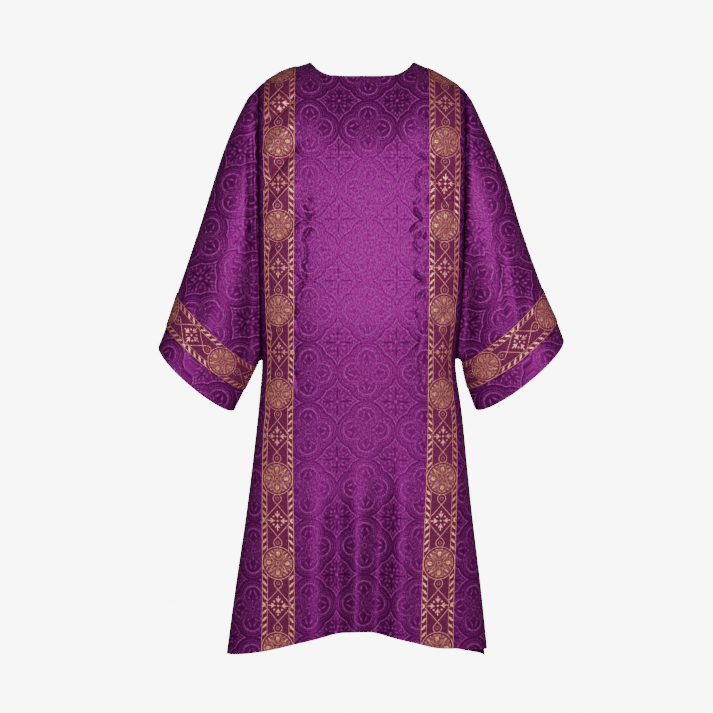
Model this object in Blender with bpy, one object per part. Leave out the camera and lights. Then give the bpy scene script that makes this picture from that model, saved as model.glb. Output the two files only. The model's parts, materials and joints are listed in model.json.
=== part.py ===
"""A dalmatic, the wide-sleeved vestment of a deacon, in the shape that it has when worn.

Metres, +Z up. The front faces -Y. Left and right are the wearer's, so left is +X.
The origin is midway between the two neck points, where the shoulder seams meet the neck opening:
the wearer's shoulders hold the garment up there.
"""

from collections import namedtuple

import bmesh
import bpy
import numpy as np

# Thicknesses and gaps
CLOTH_WALL = 0.0018  # damask and its lining
BAND_WALL = 0.0012  # woven band
SEAM_GAP = 0.0003  # between two pieces that are sewn together
PIPING_RADIUS = 0.0021

# Neck and shoulders
NECK_HALF = 0.104  # from the centre line to a neck point
NECK_STAND = 0.005  # how far the neck edge stands up at a neck point
NECK_STAND_REACH = 0.010
FRONT_NECK_DROP = 0.040
BACK_NECK_DROP = 0.026
FRONT_NECK_DEPTH = 0.068
BACK_NECK_DEPTH = 0.058
NECK_SQUARENESS = 4.0  # 2 would be an oval neckline, more is straighter across
SHOULDER_SLOPE = 0.345
SHOULDER_ROUND = 1.9
RIGHT_SHOULDER_LIFT = 0.009  # the wearer stands with the right one this much higher
SHOULDER_TURN = 0.13  # height over which the shoulder turns down into the front or back
SHOULDER_Z = -0.03  # about the middle of the shoulder seam
UNDERARM_Z = -0.594
UNDERARM_CLOSING = 0.5  # of a half turn, over which the armhole closes to a point

# Body below the shoulders
SECTION_SQUARENESS = 3.0  # 2 would be an oval body, more has a flatter front
HEM_CENTRE_Z = -1.121
HEM_SIDE_DROP = 0.048
HEM_SIDE_REACH = 0.27
HEM_ARCH = 1.6  # 1 would be a pointed arch, more is rounder at the centre
BACK_HEM_DROP = 0.018
FRONT_LEFT_HEM_LIFT = 0.006
HEM_LIFT_START = 0.14
HEM_LIFT_REACH = 0.08
HEM_GATHER = 0.0095  # how much nearer the centre the folds pull each side at the hem
GATHER_TOP_Z = -0.70
LEAN = 0.0071  # sideways at one metre down, growing with the square of the depth

# Bands
BAND_INNER = 0.131  # from the centre line, along the cloth
BAND_WIDTH = 0.066

# Grid of the cloth
PANEL_ZONES = (8, 2, 2, 3)  # columns from the centre to the neck point, band, band's outer edge and side
TURN_ROWS = 6
HANG_ROWS = 15
SLEEVE_POINTS = 34  # round each ring
PIPING_SIDES = 6

SHARP_ANGLE = np.radians(50)

Finish = namedtuple("Finish", "colour roughness metallic")
DAMASK = Finish((0.20, 0.030, 0.18), 0.45, 0.0)
BAND_GOLD = Finish((0.42, 0.20, 0.17), 0.5, 0.2)
DARK_DAMASK = Finish((0.08, 0.012, 0.075), 0.5, 0.0)

# Level sections of the body: half its width, and the depth (y) of the front and the back, first at
# the centre line and then at their side edges. The edges come together at the underarm.
Level = namedtuple("Level", "z half_width front front_edge back back_edge")
LEVELS = (
    Level(0.06, 0.2035, -0.112, -0.036, 0.100, 0.036),
    Level(-0.10, 0.2040, -0.117, -0.042, 0.108, 0.042),
    Level(-0.25, 0.2030, -0.128, -0.044, 0.118, 0.044),
    Level(-0.44, 0.1995, -0.130, -0.038, 0.118, 0.038),
    Level(-0.594, 0.1965, -0.127, -0.009, 0.114, 0.009),
    Level(-0.68, 0.2015, -0.127, -0.022, 0.114, 0.024),
    Level(-0.78, 0.2105, -0.130, -0.036, 0.118, 0.038),
    Level(-0.90, 0.2235, -0.136, -0.044, 0.126, 0.048),
    Level(-1.04, 0.2415, -0.143, -0.048, 0.135, 0.054),
    Level(-1.20, 0.2600, -0.150, -0.050, 0.144, 0.058),
)

# Rings of a sleeve after the armhole: the ends of its chord at the outer (top) edge and the inner
# (bottom) edge, how far its front and back stand off the chord, how far the front hangs below the
# chord, the y of the chord, and the steps from the ring before it.
Ring = namedtuple("Ring", "name top_x top_z bottom_x bottom_z front back sag middle steps")
SLEEVE_RIGHT = (
    Ring("roll", 0.213, -0.051, 0.2015, -0.596, 0.078, 0.070, 0.000, 0.000, 2),
    Ring("shoulder", 0.233, -0.082, 0.2060, -0.598, 0.092, 0.080, 0.000, 0.000, 2),
    Ring("upper_arm", 0.2735, -0.174, 0.2090, -0.600, 0.092, 0.080, 0.004, 0.000, 3),
    Ring("elbow", 0.3235, -0.334, 0.2130, -0.602, 0.080, 0.072, 0.008, -0.002, 3),
    Ring("band_top", 0.3655, -0.459, 0.2175, -0.606, 0.066, 0.062, 0.012, -0.004, 2),
    Ring("band_end", 0.3860, -0.522, 0.2350, -0.652, 0.062, 0.056, 0.014, -0.006, 2),
    Ring("hem", 0.4015, -0.564, 0.2545, -0.694, 0.060, 0.052, 0.018, -0.008, 2),
)
SLEEVE_LEFT = (
    Ring("roll", 0.212, -0.060, 0.2015, -0.592, 0.078, 0.070, 0.000, 0.000, 2),
    Ring("shoulder", 0.226, -0.092, 0.2060, -0.594, 0.092, 0.080, 0.000, 0.000, 2),
    Ring("upper_arm", 0.279, -0.214, 0.2080, -0.596, 0.092, 0.080, 0.004, 0.000, 3),
    Ring("elbow", 0.3175, -0.334, 0.2090, -0.597, 0.080, 0.072, 0.008, -0.002, 3),
    Ring("band_top", 0.3610, -0.452, 0.2105, -0.598, 0.066, 0.062, 0.012, -0.004, 2),
    Ring("band_end", 0.3880, -0.512, 0.2190, -0.650, 0.062, 0.056, 0.018, -0.006, 2),
    Ring("hem", 0.4025, -0.550, 0.2310, -0.692, 0.060, 0.052, 0.022, -0.008, 2),
)
SLEEVE_FOLDS_FROM = 1.5  # rings after the armhole, over which the folds come in
MIDDLE_REACH = 0.25  # of the chord, over which a ring moves to its own middle
ARM_BIAS = 0.78  # under 1 puts a ring's deepest place nearer its outer edge
RING_SQUARENESS = 0.85

# The largest folds, as straight soft troughs (depth over 0) and ridges (under 0) seen from the front
# or back: both ends of its line, and half its width. One that runs off a hem ends beyond it.
Fold = namedtuple("Fold", "x_start z_start x_end z_end width depth")
FOLD_GROWTH = 0.4  # share of its line over which a fold grows to its depth
FOLD_FADE = 0.25  # share of its line over which it dies away
FRONT_FOLDS = (
    Fold(-0.044, -0.62, -0.034, -1.45, 0.022, 0.013),
    Fold(0.054, -0.58, 0.022, -1.45, 0.023, 0.018),
    Fold(-0.004, -0.66, -0.005, -1.45, 0.022, -0.008),
    Fold(-0.090, -0.60, -0.086, -1.45, 0.026, -0.007),
    Fold(0.088, -0.56, 0.078, -1.45, 0.026, -0.008),
)
BACK_FOLDS = (
    Fold(-0.060, -0.42, -0.052, -1.45, 0.022, 0.014),
    Fold(0.050, -0.50, 0.062, -1.45, 0.020, 0.012),
    Fold(-0.004, -0.46, 0.006, -1.45, 0.026, -0.012),
    Fold(0.112, -0.60, 0.118, -1.45, 0.022, -0.008),
)
SLEEVE_FRONT_FOLDS = (
    Fold(0.222, -0.09, 0.233, -0.46, 0.010, 0.012),
    Fold(0.252, -0.12, 0.282, -0.66, 0.018, -0.010),
    Fold(0.286, -0.26, 0.320, -0.60, 0.013, 0.012),
    Fold(0.318, -0.34, 0.350, -0.66, 0.012, -0.005),
)
SLEEVE_BACK_FOLDS = (
    Fold(0.240, -0.12, 0.262, -0.58, 0.016, 0.012),
    Fold(0.290, -0.22, 0.318, -0.62, 0.014, 0.009),
)


def ease(share):
    """0 up to 0, 1 from 1 on, with a smooth step between."""
    share = np.clip(share, 0.0, 1.0)
    return share * share * (3 - 2 * share)


def unit(vectors):
    return vectors / np.linalg.norm(vectors, axis=-1, keepdims=True)


def smooth_curve(knots, values, at):
    """Reads values, one row for each ascending knot, along a smooth curve through them."""
    slopes = np.gradient(values, knots, axis=0)
    i = np.clip(np.searchsorted(knots, at, side="right") - 1, 0, len(knots) - 2)
    shape = np.shape(at) + (1,) * (values.ndim - 1)
    span = (knots[i + 1] - knots[i]).reshape(shape)
    s = (at - knots[i]).reshape(shape) / span
    return (
        (1 + 2 * s) * (1 - s) ** 2 * values[i]
        + s * (1 - s) ** 2 * span * slopes[i]
        + s * s * (3 - 2 * s) * values[i + 1]
        - s * s * (1 - s) * span * slopes[i + 1]
    )


def level(column, z):
    """A column of LEVELS at the heights z."""
    heights = np.array([-row.z for row in LEVELS])
    return smooth_curve(heights, np.array([getattr(row, column) for row in LEVELS]), -np.asarray(z))


def fold_depth(folds, x, z):
    """How far the folds draw the cloth in at x and z."""
    depth = np.zeros(np.shape(x))
    for fold in folds:
        along = (fold.z_start - z) / (fold.z_start - fold.z_end)
        line_x = fold.x_start + (fold.x_end - fold.x_start) * along
        grown = ease(along / FOLD_GROWTH) * ease((1 - along) / FOLD_FADE)
        depth += fold.depth * grown * np.exp(-(((x - line_x) / fold.width) ** 2))
    return depth


def shoulder_turn(below_top):
    """0 on the shoulder seam, 1 where the cloth hangs straight, along a quarter of an oval."""
    left = 1 - np.clip(below_top / SHOULDER_TURN, 0, 1)
    return np.sqrt(1 - left**2)


def top_edge(x, side):
    """The y and z of a panel's top edge: neck opening out to the neck point, then shoulder seam."""
    drop, depth = (FRONT_NECK_DROP, FRONT_NECK_DEPTH) if side < 0 else (BACK_NECK_DROP, BACK_NECK_DEPTH)
    share = np.clip(np.abs(x) / NECK_HALF, 0, 1)
    past = np.maximum(np.abs(x) - NECK_HALF, 0)
    stand = NECK_STAND * np.exp(-(((np.abs(x) - NECK_HALF) / NECK_STAND_REACH) ** 2))
    y = side * (SEAM_GAP / 2 + depth * np.sqrt(1 - share**2))
    z = stand - drop * (1 - share**NECK_SQUARENESS) - SHOULDER_SLOPE * past - SHOULDER_ROUND * past**2
    return y, z + RIGHT_SHOULDER_LIFT * ease((-x - NECK_HALF) / BAND_WIDTH)


def hem_z(x, side):
    """The height of a panel's hem, which hangs lower towards the sides."""
    out = np.sin(np.pi / 2 * np.clip(np.abs(x) / HEM_SIDE_REACH, 0, 1))
    z = HEM_CENTRE_Z - HEM_SIDE_DROP * out**HEM_ARCH
    if side > 0:
        return z - BACK_HEM_DROP
    return z + FRONT_LEFT_HEM_LIFT * ease((x - HEM_LIFT_START) / HEM_LIFT_REACH)


def gather(z):
    """How much nearer the centre line the folds pull each side at height z."""
    return HEM_GATHER * ease((GATHER_TOP_Z - z) / (GATHER_TOP_Z - HEM_CENTRE_Z))


def section_point(column, z, side):
    """The x and y of a panel's columns, one for each z, on the level section at that height.

    The section is a quarter of a squared oval each side. A column keeps its distance from the centre
    line along the cloth, and those past the band's outer edge share what cloth is left.
    """
    angle = np.linspace(0, np.pi / 2, 181)
    middle, edge = ("front", "front_edge") if side < 0 else ("back", "back_edge")
    middle_y, edge_y = level(middle, z)[:, None], level(edge, z)[:, None]
    xs = (level("half_width", z) + gather(z))[:, None] * np.sin(angle) ** (2 / SECTION_SQUARENESS)
    ys = edge_y + (middle_y - edge_y) * np.cos(angle) ** (2 / SECTION_SQUARENESS)
    steps = np.hypot(np.diff(xs, axis=1), np.diff(ys, axis=1))
    length = np.concatenate([np.zeros((len(z), 1)), np.cumsum(steps, axis=1)], axis=1)
    zone = np.abs(column)
    share = np.clip(zone, 0, 1)
    neck = NECK_HALF * (share + np.sin(np.pi / 2 * share)) / 2
    beyond = np.interp(zone, (1, 2, 3), (0, BAND_INNER - NECK_HALF, BAND_INNER + BAND_WIDTH - NECK_HALF))
    cloth = neck + beyond
    cloth += (length[:, -1] - BAND_INNER - BAND_WIDTH) * np.clip(zone - 3, 0, 1)
    i = np.clip((length < cloth[:, None]).sum(axis=1), 1, len(angle) - 1)
    rows = np.arange(len(z))
    share = (cloth - length[rows, i - 1]) / (length[rows, i] - length[rows, i - 1])
    x = xs[rows, i - 1] + share * (xs[rows, i] - xs[rows, i - 1])
    y = ys[rows, i - 1] + share * (ys[rows, i] - ys[rows, i - 1])
    return np.sign(column) * (x - gather(z) * np.clip(cloth / BAND_INNER, 0, 1)), y


def panel_columns():
    """Columns from -X to +X: 1 is the neck point, 2 and 3 the band's edges, 4 the side edge."""
    half = np.concatenate([[0]] + [zone + np.arange(1, n + 1) / n for zone, n in enumerate(PANEL_ZONES)])
    return np.concatenate([-half[:0:-1], half])


def panel_grid(side, folds):
    """Outer points of the front (side -1) or back (+1), by row from the top and by column."""
    columns = panel_columns()
    flat = np.ones(len(columns))
    top_x = section_point(columns, SHOULDER_Z * flat, side)[0]
    hem_x = section_point(columns, HEM_CENTRE_Z * flat, side)[0]
    top_y, top_z = top_edge(top_x, side)
    fall = top_z - hem_z(hem_x, side)
    chest = 1 - ease(2 * np.abs(top_x) / NECK_HALF - 1)
    grid = []
    for row in range(TURN_ROWS + HANG_ROWS + 1):
        if row < TURN_ROWS:
            below = SHOULDER_TURN * (1 - np.cos(row / TURN_ROWS * np.pi / 2)) * flat
        else:
            below = SHOULDER_TURN + (fall - SHOULDER_TURN) * (row - TURN_ROWS) / HANG_ROWS
        z = top_z - below
        x, y = section_point(columns, z, side)
        sloped = 1 - (1 - np.clip(below / SHOULDER_TURN, 0, 1)) ** 2
        turned = (1 - chest) * shoulder_turn(below) + chest * sloped
        y = top_y + (y - top_y) * turned
        y -= side * fold_depth(folds, x, z)
        grid.append(np.stack([x, y, z], axis=1))
    grid = np.array(grid)
    return grid if side < 0 else grid[:, ::-1]


def armhole_ring(angle, sign):
    """The first ring of a sleeve, along the side edges of both panels down to the underarm."""
    top_z = top_edge(sign * level("half_width", SHOULDER_Z), -1)[1]
    z = top_z + (UNDERARM_Z - top_z) * (1 - np.cos(angle)) / 2
    edge = np.where(angle <= np.pi, level("front_edge", z), level("back_edge", z))
    closing = ease(np.abs(angle - np.pi) / UNDERARM_CLOSING)
    y = edge * shoulder_turn(top_z - z) * closing
    return np.stack([level("half_width", z) + SEAM_GAP, y, z], axis=1)


def sleeve_ring(ring, angle):
    """A ring of a left sleeve, from its outer edge down the front and up the back."""
    chord = np.array([ring.bottom_x - ring.top_x, ring.bottom_z - ring.top_z])
    down = (1 - np.cos(angle)) / 2
    hang = ring.sag * np.sin(angle) / np.linalg.norm(chord)
    share = np.where(angle <= np.pi, angle, 2 * np.pi - angle) / np.pi
    off_chord = np.sin(np.pi * np.clip(share, 0, 1) ** ARM_BIAS).clip(0) ** RING_SQUARENESS
    x = ring.top_x + chord[0] * down - chord[1] * hang
    y = np.where(angle <= np.pi, -ring.front, ring.back) * off_chord
    y += ring.middle * ease(down / MIDDLE_REACH)
    z = ring.top_z + chord[1] * down + chord[0] * hang
    return np.stack([x, y, z], axis=1)


def sleeve_grid(rings, sign):
    """Outer points of a sleeve as if at +X, by row from the armhole and round, and each ring's row."""
    angle = 2 * np.pi * ((SLEEVE_POINTS - np.arange(SLEEVE_POINTS)) % SLEEVE_POINTS) / SLEEVE_POINTS
    shapes = np.stack([armhole_ring(angle, sign)] + [sleeve_ring(ring, angle) for ring in rings])
    at = [0.0]
    ring_rows = {}
    for number, ring in enumerate(rings):
        at += [number + (step + 1) / ring.steps for step in range(ring.steps)]
        ring_rows[ring.name] = len(at) - 1
    grid = smooth_curve(np.arange(len(shapes), dtype=float), shapes, np.array(at))
    room = np.sin(angle) ** 2 * ease(np.array(at) / SLEEVE_FOLDS_FROM)[:, None]
    for folds, facing in ((SLEEVE_FRONT_FOLDS, -1), (SLEEVE_BACK_FOLDS, 1)):
        half = facing * np.sin(angle) < 0
        grid[..., 1] -= facing * half * room * fold_depth(folds, grid[..., 0], grid[..., 2])
    return grid, ring_rows


def mirrored(grid):
    """A left sleeve's grid as the right one's, its points turned round to keep it facing out."""
    return np.roll(grid[:, ::-1], 1, axis=1) * (-1, 1, 1)


def grid_normals(grid, ring):
    """Unit normals that point out of the garment. At a seam they stay in the seam's own plane."""
    if ring:
        across = np.roll(grid, -1, axis=1) - np.roll(grid, 1, axis=1)
    else:
        across = np.gradient(grid, axis=1)
    normal = np.cross(np.gradient(grid, axis=0), across)
    if ring:
        normal[0, :, 0] = 0
    else:
        on_shoulder = np.abs(grid[0, :, 0]) > NECK_HALF - SEAM_GAP
        normal[0, on_shoulder, 1] = 0
    return unit(normal)


def leaning(points):
    """The points moved sideways with their height, as the garment hangs."""
    moved = points.copy()
    moved[..., 0] -= LEAN * points[..., 2] ** 2
    return moved


def make_object(name, mesh, finish):
    """An object of its own material from a bmesh."""
    data = bpy.data.meshes.new(name)
    mesh.to_mesh(data)
    mesh.free()
    data.shade_smooth()
    data.set_sharp_from_angle(angle=SHARP_ANGLE)
    material = bpy.data.materials.new(name)
    material.use_nodes = True
    shader = material.node_tree.nodes["Principled BSDF"]
    shader.inputs["Base Color"].default_value = (*finish.colour, 1)
    shader.inputs["Roughness"].default_value = finish.roughness
    shader.inputs["Metallic"].default_value = finish.metallic
    data.materials.append(material)
    item = bpy.data.objects.new(name, data)
    bpy.context.scene.collection.objects.link(item)


def add_quad(mesh, a, b, c, d):
    """Two triangles that meet along a-c, so that a skin and what lies on it bend at the same places."""
    mesh.faces.new((a, b, c))
    mesh.faces.new((a, c, d))


def make_wall(name, outer, inner, ring, finish):
    """A closed wall between two grids of points. A ring's columns meet themselves."""
    rows, columns = outer.shape[:2]
    mesh = bmesh.new()
    front, rear = (
        [[mesh.verts.new(point) for point in row] for row in leaning(skin)] for skin in (outer, inner)
    )
    pairs = [(j, (j + 1) % columns) for j in range(columns if ring else columns - 1)]
    for i in range(rows - 1):
        for j, k in pairs:
            add_quad(mesh, front[i][j], front[i + 1][j], front[i + 1][k], front[i][k])
            add_quad(mesh, rear[i][j], rear[i][k], rear[i + 1][k], rear[i + 1][j])
    for j, k in pairs:
        add_quad(mesh, front[0][j], front[0][k], rear[0][k], rear[0][j])
        add_quad(mesh, front[-1][k], front[-1][j], rear[-1][j], rear[-1][k])
    if not ring:
        for i in range(rows - 1):
            add_quad(mesh, front[i + 1][0], front[i][0], rear[i][0], rear[i + 1][0])
            add_quad(mesh, front[i][-1], front[i + 1][-1], rear[i + 1][-1], rear[i][-1])
    make_object(name, mesh, finish)


def make_panel(name, side, folds):
    """The front or back, and the two bands that lie on it."""
    grid = panel_grid(side, folds)
    normals = grid_normals(grid, ring=False)
    make_wall(name, grid, grid - normals * CLOTH_WALL, False, DAMASK)
    centre = len(grid[0]) // 2
    first, last = sum(PANEL_ZONES[:2]), sum(PANEL_ZONES[:3])
    for hand, sign in (("left", -side), ("right", side)):
        ends = sorted((centre + sign * first, centre + sign * last))
        across = slice(ends[0], ends[1] + 1)
        under = grid[:, across] + normals[:, across] * SEAM_GAP
        over = under + normals[:, across] * BAND_WALL
        make_wall(f"{name.split('_')[0]}_band_{hand}", over, under, False, BAND_GOLD)
    return grid, normals


def make_sleeve(hand, rings):
    """A sleeve, and the band round it above its hem."""
    grid, ring_rows = sleeve_grid(rings, 1 if hand == "left" else -1)
    if hand == "right":
        grid = mirrored(grid)
    normals = grid_normals(grid, ring=True)
    make_wall(f"sleeve_{hand}", grid, grid - normals * CLOTH_WALL, True, DAMASK)
    rows = slice(ring_rows["band_top"], ring_rows["band_end"] + 1)
    under = grid[rows] + normals[rows] * SEAM_GAP
    over = under + normals[rows] * BAND_WALL
    make_wall(f"sleeve_band_{hand}", over, under, True, BAND_GOLD)


def make_piping(panels):
    """The rolled edge round the neck opening, just clear of the panels' top edges."""
    path = []
    normals = []
    for grid, grid_normal in panels:
        centre, reach = len(grid[0]) // 2, PANEL_ZONES[0]
        path.append(grid[0, centre - reach : centre + reach])
        normals.append(grid_normal[0, centre - reach : centre + reach])
    path, normals = np.concatenate(path), unit(np.concatenate(normals))
    along = unit(np.roll(path, -1, axis=0) - np.roll(path, 1, axis=0))
    normals = unit(normals - along * (normals * along).sum(axis=1, keepdims=True))
    away = np.cross(normals, along)
    middle = path - normals * CLOTH_WALL / 2 + away * (SEAM_GAP + PIPING_RADIUS)
    mesh = bmesh.new()
    rings = []
    for point, out, up in zip(middle, normals, away):
        turns = 2 * np.pi * (np.arange(PIPING_SIDES) + 0.5) / PIPING_SIDES
        rim = point + PIPING_RADIUS * (np.cos(turns)[:, None] * up + np.sin(turns)[:, None] * out)
        rings.append([mesh.verts.new(corner) for corner in leaning(rim)])
    for ring, after in zip(rings, rings[1:] + rings[:1]):
        for j in range(PIPING_SIDES):
            k = (j + 1) % PIPING_SIDES
            mesh.faces.new((ring[j], ring[k], after[k], after[j]))
    make_object("neck_piping", mesh, DARK_DAMASK)


for item in list(bpy.data.objects):
    bpy.data.objects.remove(item)
front = make_panel("front_panel", -1, FRONT_FOLDS)
back = make_panel("back_panel", 1, BACK_FOLDS)
make_sleeve("left", SLEEVE_LEFT)
make_sleeve("right", SLEEVE_RIGHT)
make_piping((front, back))
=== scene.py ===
"""The looks of a deacon's dalmatic as it is worn: magenta damask with woven gold bands.

Metres, +Z up, the front towards -Y, the wearer's left towards +X. The cloth follows the solids of the
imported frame, in a finer grid and with its smaller folds.
"""

import json
from collections import namedtuple

import bmesh
import bpy
import numpy as np
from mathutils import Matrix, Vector

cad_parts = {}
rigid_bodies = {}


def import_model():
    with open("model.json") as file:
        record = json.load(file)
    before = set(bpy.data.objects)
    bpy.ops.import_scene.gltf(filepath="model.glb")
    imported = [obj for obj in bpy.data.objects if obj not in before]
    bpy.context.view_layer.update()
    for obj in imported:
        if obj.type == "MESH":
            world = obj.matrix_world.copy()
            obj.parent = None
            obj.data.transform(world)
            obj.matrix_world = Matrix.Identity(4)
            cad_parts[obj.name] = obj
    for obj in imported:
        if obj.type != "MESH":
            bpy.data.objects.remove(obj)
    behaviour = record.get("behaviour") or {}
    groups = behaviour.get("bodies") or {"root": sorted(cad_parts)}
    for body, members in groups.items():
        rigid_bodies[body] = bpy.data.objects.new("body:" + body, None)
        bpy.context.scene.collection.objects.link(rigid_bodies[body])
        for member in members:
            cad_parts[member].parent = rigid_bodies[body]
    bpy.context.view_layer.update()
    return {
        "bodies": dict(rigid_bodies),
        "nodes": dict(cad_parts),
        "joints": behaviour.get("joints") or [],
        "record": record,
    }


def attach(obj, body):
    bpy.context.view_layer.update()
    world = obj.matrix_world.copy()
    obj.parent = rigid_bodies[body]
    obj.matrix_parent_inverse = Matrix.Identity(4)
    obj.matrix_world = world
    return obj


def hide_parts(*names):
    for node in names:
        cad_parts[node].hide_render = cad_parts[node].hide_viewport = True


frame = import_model()

# ---- Front and back ----
# Two shaped lengths of silk damask, lined, cut wider towards the hem and joined at the shoulders. They hang
# from the shoulders in a few long soft folds, and their sides are left open below the sleeves.

CLOTH_WALL = 0.0018
SEAM_GAP = 0.0003
NECK_HALF = 0.104
NECK_STAND = 0.001
NECK_STAND_REACH = 0.010
FRONT_NECK = (0.037, 0.068)  # drop below the neck points, and depth to the front
BACK_NECK = (0.026, 0.058)
NECK_SQUARENESS = 4.0
SHOULDER_SLOPE = 0.345
SHOULDER_ROUND = 1.9
RIGHT_SHOULDER_LIFT = 0.009
SHOULDER_TURN = 0.155
SHOULDER_Z = -0.03
UNDERARM_Z = -0.594
UNDERARM_CLOSING = 0.5
SECTION_SQUARENESS = 3.0
HEM_CENTRE_Z = -1.121
HEM_SIDE_DROP = 0.048
HEM_SIDE_REACH = 0.27
HEM_ARCH = 1.6
BACK_HEM_DROP = 0.018
FRONT_LEFT_HEM_LIFT = 0.010
BACK_LEFT_HEM_DROP = 0.006
HEM_DROP_START = 0.09
HEM_LIFT_START = 0.14
HEM_LIFT_REACH = 0.08
HEM_GATHER = 0.0095
GATHER_TOP_Z = -0.70
LEAN = 0.0071
UNDERARM_PULL = 0.008  # how far the cloth under the left arm is drawn in
PULL_REACH = 0.075  # above and below the underarm
PULL_START = 0.15  # from the centre line
PULL_GROWTH = 0.05
PULL_END = 0.31
PULL_FADE = 0.08
BAND_INNER = 0.131
BAND_WIDTH = 0.066
# Columns up to the neck point, the band's inner edge, its outer edge and the side.
PANEL_ZONES = (28, 22, 18, 18)
TURN_ROWS = 34
HANG_ROWS = 228
SECTION_POINTS = 361  # points that a quarter section is measured along
SHARP_ANGLE = np.radians(50)
CHEST_ROWS = 0.16  # how much closer the rows lie on the chest, where the small creases are
MEASURE_Z = -0.30  # the height at which the cloth is measured from
FIGURE_SHORTER = 0.07  # how much closer the figure lies below FIGURE_SHORTER_FROM
FIGURE_SHORTER_FROM = -0.60
FIGURE_DROOP = 0.009  # how far the figure hangs down at the inner edges of the bands
DROOP_FROM = -0.48
DROOP_REACH = 0.42

# Level sections of the body: half its width, and the y of the front and back at the centre and the sides.
Level = namedtuple("Level", "z half_width front front_edge back back_edge")
LEVELS = (
    Level(0.06, 0.2035, -0.112, -0.045, 0.1, 0.04),
    Level(-0.1, 0.204, -0.116, -0.062, 0.108, 0.05),
    Level(-0.25, 0.203, -0.126, -0.066, 0.118, 0.054),
    Level(-0.44, 0.1995, -0.1335, -0.054, 0.121, 0.046),
    Level(-0.53, 0.1975, -0.1358, -0.034, 0.118, 0.03),
    Level(-0.594, 0.1965, -0.133, -0.009, 0.114, 0.009),
    Level(-0.68, 0.2015, -0.1285, -0.022, 0.114, 0.024),
    Level(-0.78, 0.2105, -0.1255, -0.04, 0.118, 0.038),
    Level(-0.9, 0.2235, -0.13, -0.054, 0.126, 0.048),
    Level(-1.04, 0.2415, -0.1405, -0.07, 0.135, 0.054),
    Level(-1.2, 0.26, -0.15, -0.08, 0.144, 0.058),
)

# Soft troughs (depth over 0) and ridges (under 0), as straight lines seen from the front or the back.
# Those that run off a hem end beyond it.
Fold = namedtuple("Fold", "x_start z_start x_end z_end width depth")
FOLD_GROWTH = 0.4
FOLD_FADE = 0.25
FRONT_FOLDS = (
    Fold(-0.042, -0.74, -0.034, -1.45, 0.022, 0.014),
    Fold(0.048, -0.72, 0.022, -1.45, 0.023, 0.018),
    Fold(-0.004, -0.76, -0.005, -1.45, 0.022, -0.008),
    Fold(-0.089, -0.74, -0.086, -1.45, 0.026, -0.007),
    Fold(0.086, -0.7, 0.078, -1.45, 0.026, -0.008),
)
BACK_FOLDS = (
    Fold(-0.06, -0.42, -0.052, -1.45, 0.022, 0.014),
    Fold(0.05, -0.5, 0.062, -1.45, 0.02, 0.012),
    Fold(-0.004, -0.46, 0.006, -1.45, 0.026, -0.012),
    Fold(0.112, -0.6, 0.118, -1.45, 0.022, -0.008),
)


def ease(share):
    """0 up to 0, 1 from 1 on, with a smooth step between."""
    share = np.clip(share, 0.0, 1.0)
    return share * share * (3 - 2 * share)


def unit(vectors):
    return vectors / np.linalg.norm(vectors, axis=-1, keepdims=True)


def so_far(steps, axis):
    """The running sum of steps along an axis, from 0."""
    total = np.cumsum(steps, axis=axis)
    return np.concatenate([np.zeros_like(total.take([0], axis=axis)), total], axis=axis)


def smooth_curve(knots, values, at):
    """Reads values, one row for each ascending knot, along a smooth curve through them."""
    slopes = np.gradient(values, knots, axis=0)
    i = np.clip(np.searchsorted(knots, at, side="right") - 1, 0, len(knots) - 2)
    shape = np.shape(at) + (1,) * (values.ndim - 1)
    span = (knots[i + 1] - knots[i]).reshape(shape)
    s = (at - knots[i]).reshape(shape) / span
    return (
        (1 + 2 * s) * (1 - s) ** 2 * values[i]
        + s * (1 - s) ** 2 * span * slopes[i]
        + s * s * (3 - 2 * s) * values[i + 1]
        - s * s * (1 - s) * span * slopes[i + 1]
    )


def level(column, z):
    """A column of LEVELS at the heights z."""
    heights = np.array([-row.z for row in LEVELS])
    return smooth_curve(heights, np.array([getattr(row, column) for row in LEVELS]), -np.asarray(z))


def fold_depth(folds, x, z):
    """How far the folds draw the cloth in at x and z."""
    depth = np.zeros(np.shape(x))
    for fold in folds:
        run = np.array([fold.x_end - fold.x_start, fold.z_end - fold.z_start])
        along = ((x - fold.x_start) * run[0] + (z - fold.z_start) * run[1]) / (run @ run)
        aside = ((x - fold.x_start) * run[1] - (z - fold.z_start) * run[0]) / np.linalg.norm(run)
        grown = ease(along / FOLD_GROWTH) * ease((1 - along) / FOLD_FADE)
        depth += fold.depth * grown * np.exp(-((aside / fold.width) ** 2))
    return depth


def shoulder_turn(below_top):
    """0 on the shoulder seam, 1 where the cloth hangs straight, along a quarter of an oval."""
    left = 1 - np.clip(below_top / SHOULDER_TURN, 0, 1)
    return np.sqrt(1 - left**2)


def top_edge(x, side):
    """The y and z of a panel's top edge: neck opening out to the neck point, then shoulder seam."""
    drop, depth = FRONT_NECK if side < 0 else BACK_NECK
    share = np.clip(np.abs(x) / NECK_HALF, 0, 1)
    past = np.maximum(np.abs(x) - NECK_HALF, 0)
    stand = NECK_STAND * np.exp(-(((np.abs(x) - NECK_HALF) / NECK_STAND_REACH) ** 2))
    y = side * depth * np.sqrt(1 - share**2)
    z = stand - drop * (1 - share**NECK_SQUARENESS) - SHOULDER_SLOPE * past - SHOULDER_ROUND * past**2
    return y, z + RIGHT_SHOULDER_LIFT * ease((-x - NECK_HALF) / BAND_WIDTH)


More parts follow.
